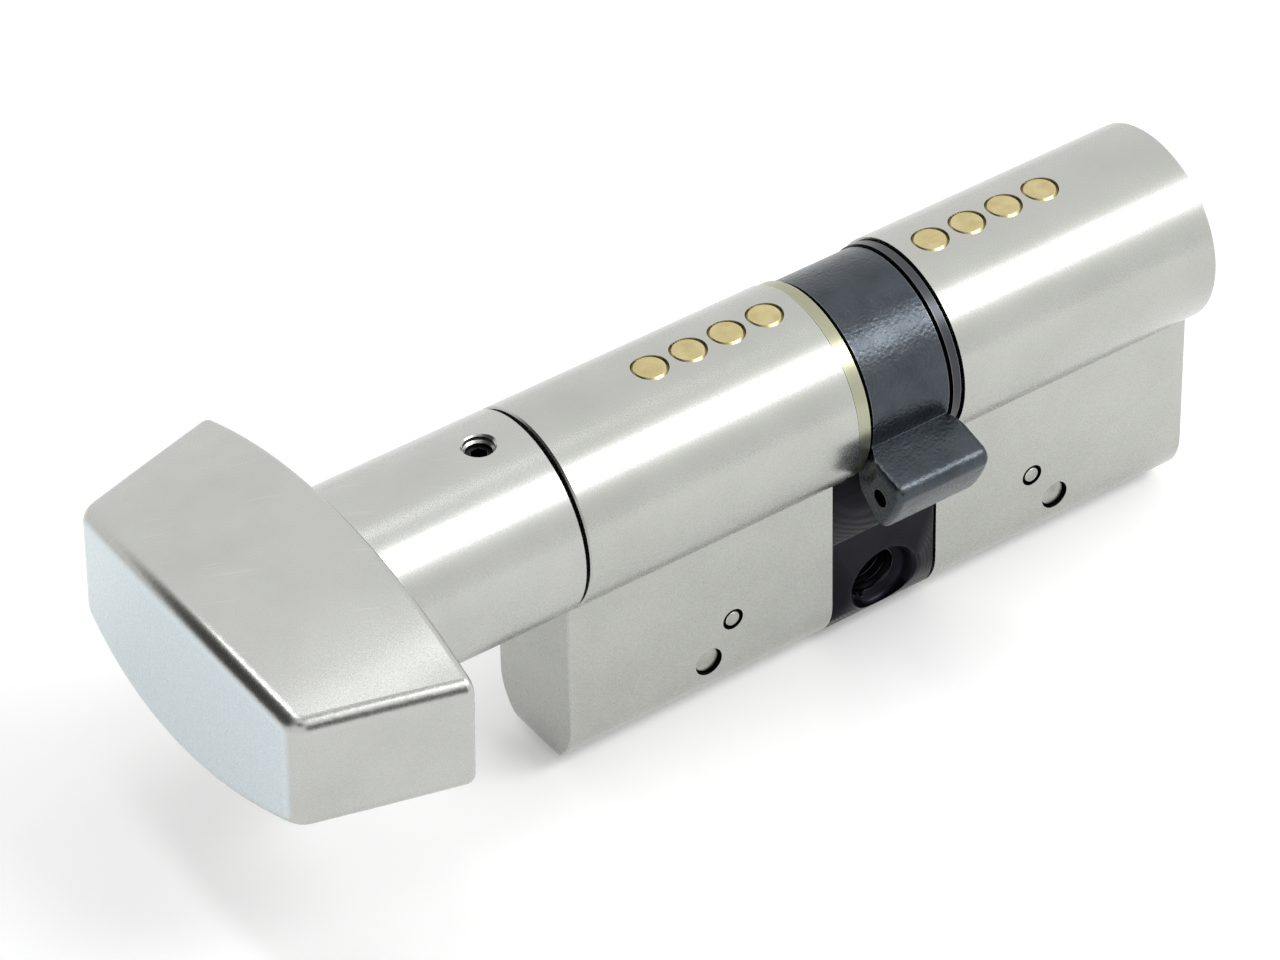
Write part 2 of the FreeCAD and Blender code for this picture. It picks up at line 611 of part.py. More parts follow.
def make_key_plug():
    """Key plug: head, running part with keyway and pin holes, journal with the clutch recess."""
    journal_end = WEB_X1 + DRIVE_CLEAR
    plug = fuse_all([
        rod(KEY_REACH - HEAD_T, KEY_REACH, HEAD_R),
        rod(FACE_X, KEY_REACH - HEAD_T, CORE_R),
        rod(journal_end, FACE_X, JOURNAL_R),
    ])
    recess_end = SLIDER_X0 + CLUTCH_WING_L + DRIVE_CLEAR
    half_h = KEYWAY_HEIGHT / 2
    shoulder_z = SHEAR_Z + KEY_PIN_SHANK + KEY_PIN_LIFT + SHEAR_GAP * 2
    cuts = [
        keyway(),
        ring_groove(key_ring_x(), KEY_RING_T),
        drive_cross(journal_end - PAST, recess_end, DRIVE_CLEAR / 2),
        rod(recess_end - PAST, KEYWAY_X0 + PAST, CLUTCH_STEM_D / 2 + DRIVE_CLEAR / 2),
    ]
    for x in chamber_places(1):
        cuts.append(post(x, AXIS_Z - CORE_R - PAST, shoulder_z, CHAMBER_R))
        cuts.append(post(x, shoulder_z - PAST, AXIS_Z - half_h + PAST, KEY_PIN_TIP_D / 2 + PIN_CLEAR))
    for y in (-PLUG_GUARD_Y, PLUG_GUARD_Y):
        cuts.append(rod(KEY_REACH - PLUG_GUARD_L, KEY_REACH + PAST, PLUG_GUARD_D / 2 + GUARD_CLEAR,
                        y, PLUG_GUARD_Z))
    return plug.cut(cuts)


def make_clutch_slider():
    """Sliding clutch: wings that enter the cam's web when the key's tip pushes the stem."""
    wing_end = SLIDER_X0 + CLUTCH_WING_L
    slider = fuse_all([
        drive_cross(SLIDER_X0, wing_end, 0.0),
        rod(wing_end, KEYWAY_X0 - CLUTCH_END_GAP, CLUTCH_STEM_D / 2),
    ])
    return slider.cut(rod(SLIDER_X0 - PAST, SLIDER_X0 + CLUTCH_BORE_DEPTH, CLUTCH_BORE_D / 2))


def coil(base, direction, length, diameter, wire_d, turns):
    """Helical spring of round wire, standing on base and growing along direction."""
    pitch = (length - wire_d) / turns
    mean_r = (diameter - wire_d) / 2
    section = Part.Wire(Part.makeCircle(wire_d / 2, V(mean_r, 0, 0), ACROSS))
    one_turn = Part.Wire(Part.makeHelix(pitch, pitch, mean_r)).makePipeShell([section], True, True)
    stack = []
    for i in range(turns):
        stack.append(one_turn.copy())
        stack[i].translate(V(0, 0, wire_d / 2 + i * pitch))
    spring = stack[0].multiFuse(stack[1:])
    turned = FreeCAD.Placement(base, FreeCAD.Rotation(UP, direction))
    spring.Placement = turned.multiply(spring.Placement)
    return spring


def make_clutch_spring():
    """Spring that pushes the clutch away from the thumb core."""
    start = THUMB_TENON_END + SPRING_GAP
    end = SLIDER_X0 + CLUTCH_BORE_DEPTH - SPRING_GAP
    return coil(V(start, 0, AXIS_Z), ALONG, end - start, CLUTCH_SPRING_D, CLUTCH_WIRE_D,
                CLUTCH_SPRING_TURNS)


def make_key_pin(index):
    """Key pin: domed foot on the shear line, shoulder and a coned tip in the keyway."""
    x = chamber_places(1)[index]
    length = KEY_PIN_LENGTHS[index]
    foot = AXIS_Z - CORE_R
    shoulder = foot + KEY_PIN_SHANK
    tip = foot + length
    tip_r = KEY_PIN_TIP_D / 2
    pin = fuse_all([
        post(x, foot - PAST, shoulder, PIN_R),
        post(x, shoulder, tip - tip_r, tip_r),
        Part.makeCone(tip_r, KEY_PIN_POINT_D / 2, tip_r, V(x, 0, tip - tip_r), UP),
    ])
    return pin.common(Part.makeSphere(CORE_R - SHEAR_GAP / 2, V(x, 0, AXIS_Z)))


def make_driver_pin(index):
    """Driver pin: plain bevelled pin held up by its spring."""
    x = chamber_places(1)[index]
    pin = post(x, DRIVER_BASE, DRIVER_TOP, PIN_R)
    rims = edges_where(pin, lambda b: b.ZLength < FLAT)
    return pin.makeChamfer(DRIVER_EDGE, rims)


def make_pin_spring(index):
    """Spring under one driver pin."""
    x = chamber_places(1)[index]
    start = CHAMBER_END + SPRING_GAP
    return coil(V(x, 0, start), UP, DRIVER_BASE - SPRING_GAP - start, 2 * PIN_R - 2 * SPRING_GAP,
                PIN_WIRE_D, PIN_SPRING_TURNS)


def make_nodes():
    """Every piece of the cylinder by its node's name."""
    nodes = {
        "thumb_body": make_thumb_body(),
        "key_body": make_key_body(),
        "bridge": make_bridge(),
        "small_cross_pins": make_small_cross_pins(),
        "large_cross_pins": make_large_cross_pins(),
        "thumb_chamber_caps": make_chamber_caps(-1),
        "key_chamber_caps": make_chamber_caps(1),
        "body_drill_guards": make_body_drill_guards(),
        "thrust_washer": make_thrust_washer(),
        "thumb_knob": make_thumb_knob(),
        "thumb_core": make_thumb_core(),
        "grub_screw": make_grub_screw(),
        "thumb_retaining_ring": make_thumb_retaining_ring(),
        "cam": make_cam(),
        "key_plug": make_key_plug(),
        "key_retaining_ring": make_key_retaining_ring(),
        "plug_drill_guards": make_plug_drill_guards(),
        "clutch_slider": make_clutch_slider(),
        "clutch_spring": make_clutch_spring(),
    }
    for index in range(CHAMBER_COUNT):
        nodes["key_pin_%d" % (index + 1)] = make_key_pin(index)
        nodes["driver_pin_%d" % (index + 1)] = make_driver_pin(index)
        nodes["pin_spring_%d" % (index + 1)] = make_pin_spring(index)
    return nodes


def main():
    """Write each piece to parts/ as its own STEP file."""
    os.makedirs("parts", exist_ok=True)
    for name, shape in make_nodes().items():
        valid = shape.isValid()
        print("%-22s solids %d volume %9.2f mm3 valid %s" % (name, len(shape.Solids), shape.Volume, valid))
        shape.exportStep(os.path.join("parts", name + ".step"))


main()
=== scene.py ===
"""Looks of a modular lock cylinder with a winged thumbturn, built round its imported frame."""
import logging
import math
from dataclasses import dataclass
from enum import Enum
from typing import Any, Optional

import bmesh
import bpy
from mathutils import Matrix, Vector


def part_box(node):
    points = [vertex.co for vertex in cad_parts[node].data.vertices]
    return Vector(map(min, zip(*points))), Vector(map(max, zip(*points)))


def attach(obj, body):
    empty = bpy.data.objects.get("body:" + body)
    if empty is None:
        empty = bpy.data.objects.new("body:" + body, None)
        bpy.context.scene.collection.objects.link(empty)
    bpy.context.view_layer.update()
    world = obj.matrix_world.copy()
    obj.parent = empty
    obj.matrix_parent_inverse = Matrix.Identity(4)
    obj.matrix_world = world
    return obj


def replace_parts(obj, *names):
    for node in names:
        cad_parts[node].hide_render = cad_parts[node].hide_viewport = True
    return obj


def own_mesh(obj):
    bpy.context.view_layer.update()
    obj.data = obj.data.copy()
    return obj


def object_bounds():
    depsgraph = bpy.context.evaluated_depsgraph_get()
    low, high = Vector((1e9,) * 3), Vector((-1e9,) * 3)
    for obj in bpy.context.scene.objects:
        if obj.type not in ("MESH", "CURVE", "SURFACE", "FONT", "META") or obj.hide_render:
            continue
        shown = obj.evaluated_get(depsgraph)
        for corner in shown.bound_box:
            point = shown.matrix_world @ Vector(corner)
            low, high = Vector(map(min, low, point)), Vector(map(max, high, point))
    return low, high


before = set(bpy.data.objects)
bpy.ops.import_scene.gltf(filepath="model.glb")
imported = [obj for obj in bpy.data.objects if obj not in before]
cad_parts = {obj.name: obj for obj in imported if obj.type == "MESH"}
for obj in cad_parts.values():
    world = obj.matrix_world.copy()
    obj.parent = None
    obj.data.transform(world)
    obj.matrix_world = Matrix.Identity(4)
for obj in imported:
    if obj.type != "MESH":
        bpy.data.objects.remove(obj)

LOG = logging.getLogger("lock_cylinder")
MM = 0.001
CAD_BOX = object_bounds()
WAVE_PERIOD = 0.314      # scale at which a wave texture's rings are one unit apart
STREAK_STRETCH = 0.04    # width of a drawn streak over its length
RING_STRETCH = 0.05      # width of a turned ring over the length it runs unbroken
SCRATCH_STRETCH = 0.02   # width of a scratch over its length
SCRATCH_SLANT = 28.0     # degrees between a scratch and the barrel
SCRATCH_FADE_MM = 2.0    # height over which the scratches set in
SHARP_ANGLE = 32.0       # degrees between faces past which an edge stays sharp
WELD = 1e-7              # metres between points that a spin leaves doubled
FRAME_WELD = 1e-6        # metres between points of a frame's loose triangles
CUT_ROOM = 1e-8          # metres within which a point lies on a cut
CHAMBERS = range(1, 5)   # numbers of the pin chambers
MIX_A, MIX_B, MIX_RESULT = 6, 7, 2    # numbers of a Mix node's colour sockets

Tree = bpy.types.NodeTree
Socket = bpy.types.NodeSocket
Mesh = bmesh.types.BMesh
Point = tuple[float, float, float]


def linear(hex_colour: str) -> tuple[float, float, float, float]:
    """Turns an sRGB hex colour into the linear colour that shaders take.

    Args:
        hex_colour: Six hex digits after a hash, such as "#C8C4BC".

    Returns:
        Linear red, green and blue, and an alpha of one.
    """
    parts = [int(hex_colour[i:i + 2], 16) / 255 for i in (1, 3, 5)]
    red, green, blue = [p / 12.92 if p <= 0.04045 else ((p + 0.055) / 1.055) ** 2.4 for p in parts]
    return red, green, blue, 1.0


def add(tree: Tree, kind: str, settings: Optional[dict[Any, Any]] = None,
        links: Optional[dict[Any, Any]] = None) -> bpy.types.Node:
    """Adds one node to a tree.

    Args:
        tree: The node tree.
        kind: The node's type name.
        settings: Values by input name or number, or by property name.
        links: Output sockets by the input name or number that they feed.

    Returns:
        The new node.
    """
    node = tree.nodes.new(kind)
    for key, value in (settings or {}).items():
        if isinstance(key, int) or key in node.inputs:
            node.inputs[key].default_value = value
        else:
            setattr(node, key, value)
    for key, source in (links or {}).items():
        tree.links.new(source, node.inputs[key])
    return node


def lay_over(tree: Tree, amount: Socket, base: Socket, colour: str) -> Socket:
    """Lays one colour over another.

    Args:
        tree: The material's node tree.
        amount: How much of the new colour shows.
        base: The colour below.
        colour: The new colour, in sRGB hex.

    Returns:
        The mixed colour's socket.
    """
    mixed = add(tree, "ShaderNodeMix", {"data_type": "RGBA", MIX_B: linear(colour)},
                {0: amount, MIX_A: base})
    return mixed.outputs[MIX_RESULT]


class Grain(Enum):
    """How a surface was made, which decides the direction and shape of its marks."""

    BLASTED = "blasted"      # even, matt, no direction
    DRAWN = "drawn"          # streaks along the barrel
    TURNED = "turned"        # rings round the barrel's axis
    FACED = "faced"          # arcs round the fixing-screw hole
    SINTERED = "sintered"    # open grains of pressed powder


@dataclass(frozen=True)
class Finish:
    """One metal and the way its surface was made.

    Attributes:
        name: Maker's name of the finish.
        slot: The record's material slot; not used.
        bright: Colour of the clean metal.
        dull: Colour of its stained or shaded patches.
        edge: Colour where edges are rubbed bare.
        rough: Mean roughness.
        rough_spread: How far the roughness wanders.
        grain: Direction and shape of the marks.
        grain_mm: Spacing of the marks.
        relief_mm: Height of the marks.
        patch_mm: Size of the patches of duller metal.
        edge_mm: How far the rubbed metal reaches in from an edge.
        end_face_painted_reflection: Painted reflection: a lighter, cooler colour laid on the outer
            end face, if it has one.
        scratch_mm: Length of the fine scratches of use, if it has any.
        scratch_low_mm: Height above which the scratches lie.
    """

    name: str
    slot: str
    bright: str
    dull: str
    edge: str
    rough: float
    rough_spread: float
    grain: Grain
    grain_mm: float
    relief_mm: float
    patch_mm: float = 6.0
    edge_mm: float = 0.12
    end_face_painted_reflection: str = ""
    scratch_mm: float = 0.0
    scratch_low_mm: float = 24.0

    def stretch(self) -> Point:
        """Scale of the marks along X, Y and Z, in marks per metre."""
        fine = 1 / (self.grain_mm * MM)
        along = STREAK_STRETCH if self.grain is Grain.DRAWN else 1.0
        across = RING_STRETCH if self.grain is Grain.TURNED else 1.0
        return fine * along, fine * across, fine * across

    def marks(self, tree: Tree, place: Socket) -> Socket:
        """Builds the pattern of the marks.

        Args:
            tree: The material's node tree.
            place: Object coordinates in metres.

        Returns:
            The socket that holds the marks' height from 0 to 1.
        """
        spread = add(tree, "ShaderNodeMapping", {"Scale": self.stretch()}, {"Vector": place})
        if self.grain is Grain.FACED:
            return add(tree, "ShaderNodeTexWave",
                       {"wave_type": "RINGS", "rings_direction": "Y", "Scale": WAVE_PERIOD,
                        "Distortion": 1.2, "Detail": 3.0, "Detail Scale": 0.6},
                       {"Vector": spread.outputs["Vector"]}).outputs["Fac"]
        noise = add(tree, "ShaderNodeTexNoise", {"Scale": 1.0, "Detail": 3.0, "Roughness": 0.6},
                    {"Vector": spread.outputs["Vector"]})
        if self.grain is not Grain.SINTERED:
            return noise.outputs["Fac"]
        cells = add(tree, "ShaderNodeTexVoronoi",
                    {"Scale": 0.8, "feature": "SMOOTH_F1", "Smoothness": 0.6},
                    {"Vector": spread.outputs["Vector"]})
        mixed = add(tree, "ShaderNodeMath", {"operation": "MULTIPLY_ADD", 1: 0.6},
                    {0: cells.outputs["Distance"], 2: noise.outputs["Fac"]})
        return mixed.outputs["Value"]

    def worn(self, tree: Tree, patches: Socket) -> Socket:
        """Finds the rubbed edges, from how a rounded normal leaves the true one.

        Args:
            tree: The material's node tree.
            patches: Uneven pattern that breaks the wear up.

        Returns:
            The socket that is 1 on a worn edge and 0 on a flat face.
        """
        rounded = add(tree, "ShaderNodeBevel", {"samples": 6, "Radius": self.edge_mm * MM})
        true = add(tree, "ShaderNodeNewGeometry").outputs["Normal"]
        same = add(tree, "ShaderNodeVectorMath", {"operation": "DOT_PRODUCT"},
                   {0: rounded.outputs["Normal"], 1: true})
        # Wear sets in where the two normals part by 6 degrees, and is full at 32.
        edge = add(tree, "ShaderNodeMapRange", {"From Min": 0.995, "From Max": 0.85},
                   {"Value": same.outputs["Value"]})
        uneven = add(tree, "ShaderNodeMapRange",
                     {"From Min": 0.3, "From Max": 0.6, "To Min": 0.35}, {"Value": patches})
        return add(tree, "ShaderNodeMath", {"operation": "MULTIPLY"},
                   {0: edge.outputs["Result"], 1: uneven.outputs["Result"]}).outputs["Value"]

    def scratches(self, tree: Tree, place: Socket) -> Socket:
        """Draws a few hairline scratches, slantwise and far apart.

        Args:
            tree: The material's node tree.
            place: Object coordinates in metres.

        Returns:
            The socket that is 1 in a scratch and 0 elsewhere.
        """
        long = 1 / (self.scratch_mm * MM)
        thin = 1 / (self.scratch_mm * SCRATCH_STRETCH * MM)
        turned = add(tree, "ShaderNodeMapping",
                     {"Rotation": (0.0, 0.0, math.radians(SCRATCH_SLANT))}, {"Vector": place})
        spread = add(tree, "ShaderNodeMapping", {"Scale": (long, thin, long)},
                     {"Vector": turned.outputs["Vector"]})
        lines = add(tree, "ShaderNodeTexNoise", {"Scale": 1.0, "Detail": 1.0},
                    {"Vector": spread.outputs["Vector"]})
        thin_lines = add(tree, "ShaderNodeMapRange", {"From Min": 0.70, "From Max": 0.76},
                         {"Value": lines.outputs["Fac"]})
        height = add(tree, "ShaderNodeSeparateXYZ", None, {"Vector": place}).outputs["Z"]
        low, high = self.scratch_low_mm * MM, (self.scratch_low_mm + SCRATCH_FADE_MM) * MM
        on_top = add(tree, "ShaderNodeMapRange",
                     {"From Min": low, "From Max": high, "To Max": 0.6}, {"Value": height})
        return add(tree, "ShaderNodeMath", {"operation": "MULTIPLY"},
                   {0: thin_lines.outputs["Result"], 1: on_top.outputs["Result"]}).outputs["Value"]

    def material(self) -> bpy.types.Material:
        """Gives the finish as a material, which is built the first time."""
        made = bpy.data.materials.get(self.name)
        if made is not None:
            return made
        made = bpy.data.materials.new(self.name)
        made.use_nodes = True
        tree = made.node_tree
        shader = tree.nodes["Principled BSDF"]
        shader.inputs["Metallic"].default_value = 1.0
        place = add(tree, "ShaderNodeTexCoord").outputs["Object"]
        marks = self.marks(tree, place)
        patches = add(tree, "ShaderNodeTexNoise",
                      {"Scale": 1 / (self.patch_mm * MM), "Detail": 4.0, "Roughness": 0.55},
                      {"Vector": place}).outputs["Fac"]
        tone = add(tree, "ShaderNodeMapRange", {"From Min": 0.38, "From Max": 0.72},
                   {"Value": patches})
        colour = add(tree, "ShaderNodeMix",
                     {"data_type": "RGBA", MIX_A: linear(self.bright), MIX_B: linear(self.dull)},
                     {0: tone.outputs["Result"]}).outputs[MIX_RESULT]
        if self.end_face_painted_reflection:
            normal = add(tree, "ShaderNodeNewGeometry").outputs["Normal"]
            along = add(tree, "ShaderNodeSeparateXYZ", None, {"Vector": normal}).outputs["X"]
            # Painted reflection: faces that look along -X, the outer end face, get a lighter,
            # cooler colour that fades out over the rounded rim.
            end = add(tree, "ShaderNodeMapRange", {"From Min": -0.86, "From Max": -0.96},
                      {"Value": along})
            colour = lay_over(tree, end.outputs["Result"], colour, self.end_face_painted_reflection)
        if self.scratch_mm:
            colour = lay_over(tree, self.scratches(tree, place), colour, self.edge)
        colour = lay_over(tree, self.worn(tree, patches), colour, self.edge)
        rough = add(tree, "ShaderNodeMapRange",
                    {"From Min": 0.25, "From Max": 0.75, "To Min": self.rough - self.rough_spread,
                     "To Max": self.rough + self.rough_spread}, {"Value": marks})
        relief = add(tree, "ShaderNodeBump", {"Strength": 1.0, "Distance": self.relief_mm * MM},
                     {"Height": marks})
        tree.links.new(colour, shader.inputs["Base Color"])
        tree.links.new(rough.outputs["Result"], shader.inputs["Roughness"])
        tree.links.new(relief.outputs["Normal"], shader.inputs["Normal"])
        return made


# Satin nickel plate on machined brass: soft white-grey and matt, with a broad highlight.
SATIN_NICKEL = Finish("satin_nickel_plated_brass", "nickel_body", "#B3B4AF", "#ADAEA9", "#C4C5C1",
                      0.27, 0.03, Grain.BLASTED, 0.16, 0.0008)
# Satin nickel plate on cast zinc: the same grey, a painted reflection that makes the outer end
# face paler and cooler, a few hairlines.
KNOB_NICKEL = Finish("satin_nickel_plated_zinc", "nickel_knob", "#B6B7B3", "#B0B1AD", "#C6C7C3",
                     0.27, 0.03, Grain.BLASTED, 0.2, 0.0007, end_face_painted_reflection="#C3CDD1", scratch_mm=9.0)
# The same plate on the turned plug: fine rings on its face.
PLUG_NICKEL = Finish("nickel_plated_turned_brass", "plug_nickel", "#B2B2AC", "#A8A8A2", "#C6C6C0",
                     0.28, 0.04, Grain.TURNED, 0.2, 0.002)
# Black-oxide milled steel: nearly black, the cutter's arcs round the screw hole, grey edges.
BLACK_STEEL = Finish("black_oxide_milled_steel", "black_steel", "#202026", "#18181D", "#66666B",
                     0.36, 0.06, Grain.FACED, 0.35, 0.003, edge_mm=0.1)
# Steam-blackened sintered steel: blue-grey, and it sparkles where light strikes its grains.
SINTERED = Finish("steam_blackened_sintered_steel", "sintered_steel",
                  "#4A4F54", "#3D4247", "#8B9095", 0.23, 0.07, Grain.SINTERED, 0.28, 0.034, 3.0)
# Ground steel cross pins: a plain grey end.
GROUND_STEEL = Finish("ground_steel", "pin_steel", "#B0B0AA", "#9A9A94", "#C8C8C4",
                      0.3, 0.05, Grain.BLASTED, 0.15, 0.002, 1.0)
# Painted shade: near-black steel laid on the cross pins' grooves, shanks and collars, where shade
# falls in the holes.
GROOVE_SHADE_STEEL = Finish("painted_groove_shade_steel", "pin_steel", "#1E1D1B", "#141312", "#2A2826",
                     0.5, 0.05, Grain.BLASTED, 0.15, 0.002, 1.0)
# Turned brass plugs, filed flush: yellow with a soft sheen.
CAP_BRASS = Finish("filed_brass", "brass", "#C6B98C", "#B7A676", "#DDD3AE",
                   0.3, 0.05, Grain.BLASTED, 0.2, 0.003, 1.2)
# Stamped brass washer, paler than the caps.
WASHER_BRASS = Finish("stamped_pale_brass", "washer_brass", "#A6A791", "#99997F", "#C9CAB4",
                      0.3, 0.05, Grain.TURNED, 0.2, 0.002)
# Painted shade: the core is coloured near-black brown; it is hidden but for a dark line in the gap
# beside the neck, where shade falls.
CORE_GAP_SHADE = Finish("painted_gap_shade_core", "core_brass", "#3A3733", "#2C2A27", "#6F6A62",
                    0.35, 0.05, Grain.TURNED, 0.2, 0.002)
# Turned key pins of free-cutting brass.
PIN_BRASS = Finish("turned_brass_pin", "pin_brass", "#BEA666", "#AD8E4B", "#D8C58E",
                   0.24, 0.04, Grain.TURNED, 0.15, 0.002)
# Black-oxide socket screw.
GRUB_BLACK = Finish("black_oxide_screw_steel", "grub_steel", "#2A2A2C", "#202022", "#77777A",
                    0.35, 0.05, Grain.BLASTED, 0.15, 0.002, edge_mm=0.06)
# Phosphated spring steel: dark grey, slightly greasy.
RING_BLACK = Finish("phosphated_spring_steel", "ring_steel", "#4B4D51", "#3B3D41", "#8A8C90",
                    0.33, 0.06, Grain.TURNED, 0.15, 0.003)
# Hardened and ground guards: bright steel.
HARD_STEEL = Finish("hardened_ground_steel", "hard_steel", "#A9ABAE", "#989A9E", "#C2C4C7",
                    0.25, 0.04, Grain.BLASTED, 0.15, 0.002)
# Sintered clutch, left bare: mid-grey and open-grained.
CLUTCH_STEEL = Finish("sintered_clutch_steel", "clutch_steel", "#9C9D9F", "#88898C", "#B4B5B7",
                      0.36, 0.06, Grain.SINTERED, 0.25, 0.006)
# Turned stainless driver pins: bright, with fine rings.
DRIVER_STEEL = Finish("turned_stainless_pin", "driver_steel", "#B7B8BA", "#A6A7AA", "#CDCED0",
                      0.24, 0.04, Grain.TURNED, 0.15, 0.002)
# Drawn spring wire: bright, streaked along its length.
SPRING_STEEL = Finish("drawn_spring_wire", "spring_steel", "#B0B2B4", "#9A9CA0", "#C6C8CA",
                      0.25, 0.04, Grain.DRAWN, 0.1, 0.001, edge_mm=0.03)


def all_of(mesh: Mesh) -> list[Any]:
    """Every vertex, edge and face of a mesh."""
    return mesh.verts[:] + mesh.edges[:] + mesh.faces[:]


def open_edges(mesh: Mesh) -> list[bmesh.types.BMEdge]:
    """Every edge of a mesh that has one face only."""
    return [edge for edge in mesh.edges if edge.is_boundary]


def stored(mesh: Mesh, name: str) -> bpy.types.Mesh:
    """Stores a mesh that is being worked on, and frees it.

    Args:
        mesh: The mesh being worked on.
        name: The stored mesh's name.

    Returns:
        The stored mesh.
    """
    data = bpy.data.meshes.new(name)
    mesh.to_mesh(data)
    mesh.free()
    return data


def take_in(mesh: Mesh, data: bpy.types.Mesh) -> None:
    """Adds a stored mesh to one being worked on, and removes the stored one.

    Args:
        mesh: The mesh being worked on.
        data: The stored mesh.
    """
    mesh.from_mesh(data)
    bpy.data.meshes.remove(data)


def turn_round(mesh: Mesh, geometry: list[Any], axis: Point, steps: int, turns: int = 1,
               rise: float = 0.0, closed: bool = False) -> None:
    """Turns an outline round an axis through the origin.

    Args:
        mesh: The outline's mesh.
        geometry: The outline's vertices and edges.
        axis: The axis.
        steps: Facets of all the turns together.
        turns: Number of turns.
        rise: Metres that each facet climbs along the axis.
        closed: Whether the last facet joins the first.
    """
    bmesh.ops.spin(mesh, geom=geometry, cent=(0, 0, 0), axis=axis, dvec=Vector(axis) * rise,
                   angle=2 * math.pi * turns, steps=steps, use_merge=closed)


def chain(mesh: Mesh, points: list[tuple[float, float]]) -> list[Any]:
    """Draws an outline to be spun round the Y axis.

    Args:
        mesh: The mesh that gets the outline.
        points: Radius and height along Y of each point, in millimetres.

    Returns:
        The new vertices and edges.
    """
    verts = [mesh.verts.new((radius * MM, along * MM, 0.0)) for radius, along in points]
    return verts + [mesh.edges.new(pair) for pair in zip(verts, verts[1:])]


@dataclass(frozen=True)
class CoilSpring:
    """A coil spring wound where a node of the frame is.

    Attributes:
        name: The new piece's name.
        node: The node of the frame that it stands for.
        joint: Name of the joint that moves it; not used.
        along: Its direction, away from its fixed end.
        wire_mm: Thickness of its wire.
        turns: Number of its coils.
        turn_steps: Facets of one coil.
        wire_sides: Facets round the wire.
    """

    name: str
    node: str
    joint: str
    along: Point
    wire_mm: float
    turns: int = 5
    turn_steps: int = 36
    wire_sides: int = 12


@dataclass
class SubAssembly:
    """Pieces of the lock that move as one body.

    Attributes:
        body: The body's name in the frame.
    """

    body: str

    def finishes(self) -> dict[str, Finish]:
        """The finish of each node of the frame on this body."""
        return {}

    def build(self) -> None:
        """Builds the body's new pieces. Most bodies have none."""

    def dress(self) -> None:
        """Gives every node of the body its finish."""
        for node, finish in self.finishes().items():
            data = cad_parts[node].data
            data.materials.clear()
            data.materials.append(finish.material())
            LOG.info("%s: %s, %s", self.body, node, finish.name)

    def piece(self, name: str, mesh: Mesh, finish: Finish, *more: Finish) -> bpy.types.Object:
        """Makes an object of a finished mesh and lets it ride on the body.

        Args:
            name: The new piece's name.
            mesh: Its mesh, in place, which is freed.
            finish: Its main finish.
            more: The finishes of its other faces, by material number.

        Returns:
            The piece.
        """
        bmesh.ops.recalc_face_normals(mesh, faces=mesh.faces)
        for face in mesh.faces:
            face.smooth = True
        data = stored(mesh, name)
        data.set_sharp_from_angle(angle=math.radians(SHARP_ANGLE))
        for metal in (finish, *more):
            data.materials.append(metal.material())
        thing = bpy.data.objects.new(name, data)
        bpy.context.scene.collection.objects.link(thing)
        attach(thing, self.body)
        LOG.info("%s: %s, %d faces", self.body, name, len(data.polygons))
        return thing

    def wind(self, spring: CoilSpring) -> None:
        """Winds a spring where its node is, starting at one end of the node's box.

        Args:
            spring: The spring.
        """
        low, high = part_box(spring.node)
        along = Vector(spring.along)
        length, wire = (high - low).dot(along), spring.wire_mm * MM
        fixed_end = (low + high - along * length) / 2
        mesh = bmesh.new()
        bmesh.ops.create_circle(mesh, segments=spring.wire_sides, radius=wire / 2)
        bmesh.ops.rotate(mesh, verts=mesh.verts, cent=(0, 0, 0),
                         matrix=Matrix.Rotation(math.pi / 2, 3, "X"))
        mean_radius = (high.y - low.y - wire) / 2
        bmesh.ops.translate(mesh, verts=mesh.verts, vec=(mean_radius, 0, wire / 2))
        steps = spring.turns * spring.turn_steps
        turn_round(mesh, all_of(mesh), (0, 0, 1), steps, spring.turns, (length - wire) / steps)
        bmesh.ops.holes_fill(mesh, edges=open_edges(mesh), sides=spring.wire_sides)
        turn = Vector((0, 0, 1)).rotation_difference(along).to_matrix()
        bmesh.ops.rotate(mesh, verts=mesh.verts, cent=(0, 0, 0), matrix=turn)
        bmesh.ops.translate(mesh, verts=mesh.verts, vec=fixed_end)
        coil = self.piece(spring.name, mesh, SPRING_STEEL)
        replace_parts(coil, spring.node)
        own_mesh(coil)


